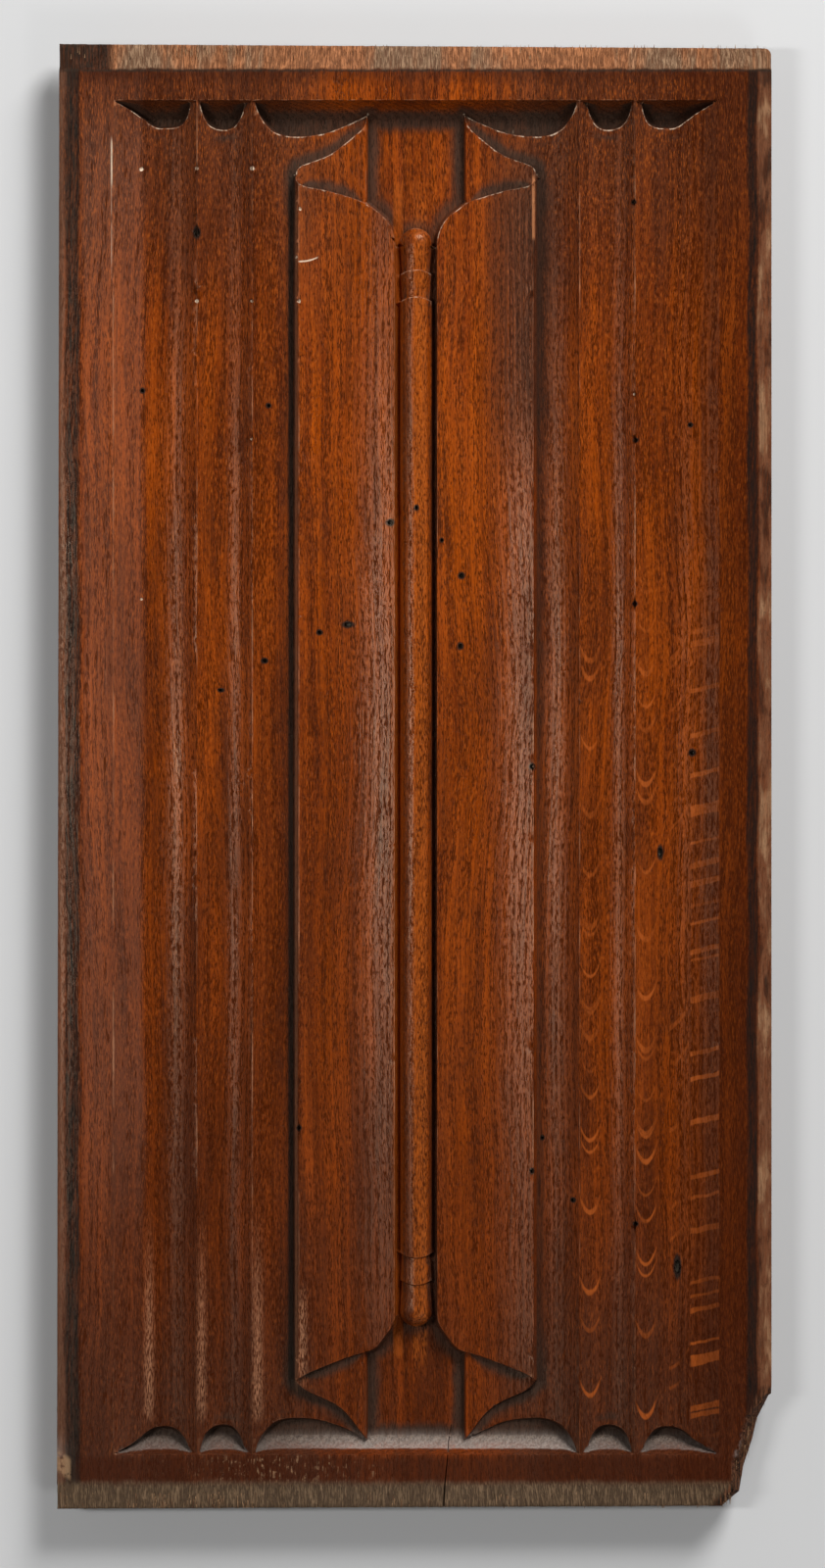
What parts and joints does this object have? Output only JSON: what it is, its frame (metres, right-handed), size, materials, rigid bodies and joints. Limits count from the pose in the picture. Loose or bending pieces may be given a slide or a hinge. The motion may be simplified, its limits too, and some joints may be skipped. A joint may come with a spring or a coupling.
{
  "type": "linenfold wainscot panel",
  "caption": "Carved oak wainscot panel with folded-cloth relief, a centre bead and thin edges that fit the grooves of a frame; one lower corner is broken away.",
  "frame": {"origin": "centre of the back face it lies on", "axes": "+X across the board, +Y along the grain towards the unbroken end, +Z out of the carved face"},
  "size_m": [0.2408, 0.4936, 0.016],
  "materials": {
    "aged_oak": "waxed satin"
  },
  "bodies": {
    "root": {"oak_panel": "aged_oak"}
  },
  "joints": []
}
